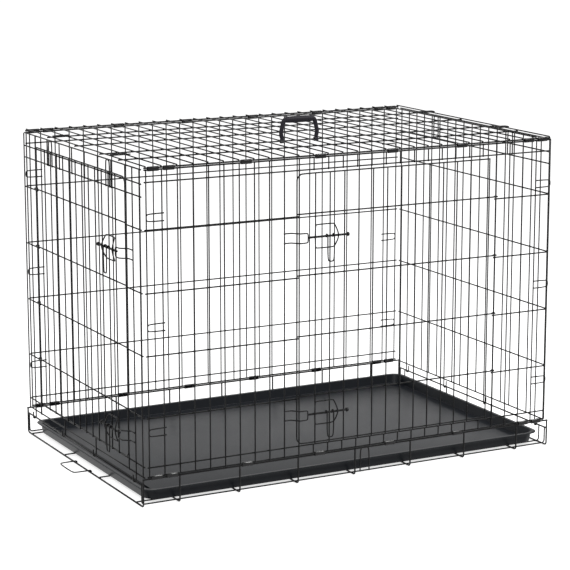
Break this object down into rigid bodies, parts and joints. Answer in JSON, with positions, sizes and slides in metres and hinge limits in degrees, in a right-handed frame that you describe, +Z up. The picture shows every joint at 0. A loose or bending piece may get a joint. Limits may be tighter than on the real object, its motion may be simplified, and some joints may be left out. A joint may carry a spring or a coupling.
{
  "type": "folding wire dog crate",
  "caption": "Folding dog crate of welded black wire panels with a side door, an end door, slide-bolt latches, a pull-out plastic tray and a carrying handle.",
  "frame": {"origin": "on the floor under the middle of the wire frame", "axes": "+X along the length towards the closed end, +Y to the back, +Z up"},
  "size_m": [1.1232, 0.7337, 0.8147],
  "materials": {
    "wire": "black electro-coat, satin",
    "clip": "black coated steel strip",
    "tray_plastic": "satin moulded plastic",
    "handle_plastic": "satin moulded plastic"
  },
  "bodies": {
    "base": {"base_bends": "wire", "base_cross_wires": "wire", "base_end_rails": "wire", "base_long_wires": "wire", "base_rims": "wire", "base_rises": "wire", "tray_guide": "wire"},
    "front_panel": {"front_uprights": "wire", "front_rows": "wire", "front_rails": "wire", "front_hinge_post": "wire", "front_corner_keepers": "wire", "front_latch_keepers": "wire", "front_clips": "clip"},
    "back_panel": {"back_uprights": "wire", "back_rows": "wire", "back_rails": "wire", "back_corner_keepers": "wire", "back_clips": "clip"},
    "top": {"top_cross_wires": "wire", "top_long_wires": "wire", "top_rails": "wire", "top_end_loops": "wire"},
    "left_end": {"left_uprights": "wire", "left_rows": "wire", "left_hinge_post": "wire", "left_hairpins": "wire", "left_shoes": "wire", "left_latch_keepers": "wire"},
    "right_end": {"right_uprights": "wire", "right_rows": "wire", "right_hairpins": "wire", "right_shoes": "wire"},
    "front_door": {"front_door_curls": "wire", "front_door_frame": "wire", "front_door_guides": "wire", "front_door_rows": "wire", "front_door_uprights": "wire"},
    "end_door": {"end_door_curls": "wire", "end_door_frame": "wire", "end_door_guides": "wire", "end_door_rows": "wire", "end_door_uprights": "wire"},
    "tray": {"tray": "tray_plastic"},
    "tray_stop": {"tray_stop": "wire"},
    "handle": {"handle": "handle_plastic"},
    "front_lower_bolt": {"front_lower_bolt": "wire"},
    "front_lower_tab": {"front_lower_tab": "wire"},
    "front_upper_bolt": {"front_upper_bolt": "wire"},
    "front_upper_tab": {"front_upper_tab": "wire"},
    "end_lower_bolt": {"end_lower_bolt": "wire"},
    "end_lower_tab": {"end_lower_tab": "wire"},
    "end_upper_bolt": {"end_upper_bolt": "wire"},
    "end_upper_tab": {"end_upper_tab": "wire"}
  },
  "joints": [
    {"name": "frame_fold", "type": "hinge", "parent": "base", "child": "front_panel", "pos_m": [0, -0.35, 0.064], "axis": [-1, 0, 0], "range_deg": [-78, 0]},
    {"name": "back_fold", "type": "hinge", "parent": "base", "child": "back_panel", "pos_m": [0, 0.35, 0.064], "axis": [-1, 0, 0], "range_deg": [-78, 0]},
    {"name": "top_fold", "type": "hinge", "parent": "front_panel", "child": "top", "pos_m": [0, -0.35, 0.757], "axis": [1, 0, 0], "range_deg": [-78, 0]},
    {"name": "left_end_fold", "type": "hinge", "parent": "base", "child": "left_end", "pos_m": [-0.53709, 0, 0.052], "axis": [0, -1, 0], "range_deg": [-90, 0]},
    {"name": "right_end_fold", "type": "hinge", "parent": "base", "child": "right_end", "pos_m": [0.53709, 0, 0.0443], "axis": [0, 1, 0], "range_deg": [-90, 0]},
    {"name": "front_door_swing", "type": "hinge", "parent": "front_panel", "child": "front_door", "pos_m": [0.37357, -0.3538, 0.408], "axis": [0, 0, 1], "range_deg": [0, 150]},
    {"name": "end_door_swing", "type": "hinge", "parent": "left_end", "child": "end_door", "pos_m": [-0.5338, 0.266, 0.408], "axis": [0, 0, -1], "range_deg": [0, 150]},
    {"name": "tray_slide", "type": "slide", "parent": "base", "child": "tray", "axis": [-1, 0, 0], "range_m": [0, 1.07]},
    {"name": "tray_stop_swing", "type": "hinge", "parent": "base", "child": "tray_stop", "pos_m": [-0.53709, 0, 0.002], "axis": [0, -1, 0], "range_deg": [-90, 0]},
    {"name": "handle_swing", "type": "hinge", "parent": "top", "child": "handle", "pos_m": [-0.01868, -0.1085, 0.7572], "axis": [-1, 0, 0], "range_deg": [0, 65]},
    {"name": "front_lower_bolt_slide", "type": "slide", "parent": "front_door", "child": "front_lower_bolt", "axis": [-1, 0, 0], "range_m": [0, 0.02]},
    {"name": "front_lower_tab_swing", "type": "hinge", "parent": "front_lower_bolt", "child": "front_lower_tab", "pos_m": [-0.09, -0.36909, 0.16696], "axis": [-1, 0, 0], "range_deg": [0, 120]},
    {"name": "end_lower_bolt_slide", "type": "slide", "parent": "end_door", "child": "end_lower_bolt", "axis": [0, -1, 0], "range_m": [0, 0.02]},
    {"name": "end_lower_tab_swing", "type": "hinge", "parent": "end_lower_bolt", "child": "end_lower_tab", "pos_m": [-0.54909, -0.208, 0.14978], "axis": [0, 1, 0], "range_deg": [0, 120]},
    {"name": "front_upper_bolt_slide", "type": "slide", "parent": "front_door", "child": "front_upper_bolt", "axis": [-1, 0, 0], "range_m": [0, 0.02]},
    {"name": "front_upper_tab_swing", "type": "hinge", "parent": "front_upper_bolt", "child": "front_upper_tab", "pos_m": [-0.09, -0.36909, 0.5759], "axis": [-1, 0, 0], "range_deg": [0, 120]},
    {"name": "end_upper_bolt_slide", "type": "slide", "parent": "end_door", "child": "end_upper_bolt", "axis": [0, -1, 0], "range_m": [0, 0.02]},
    {"name": "end_upper_tab_swing", "type": "hinge", "parent": "end_upper_bolt", "child": "end_upper_tab", "pos_m": [-0.54909, -0.208, 0.56191], "axis": [0, 1, 0], "range_deg": [0, 120]}
  ],
  "couplings": [
    {"joint": "back_fold", "follows": "frame_fold", "ratio": 1},
    {"joint": "top_fold", "follows": "frame_fold", "ratio": 1}
  ]
}
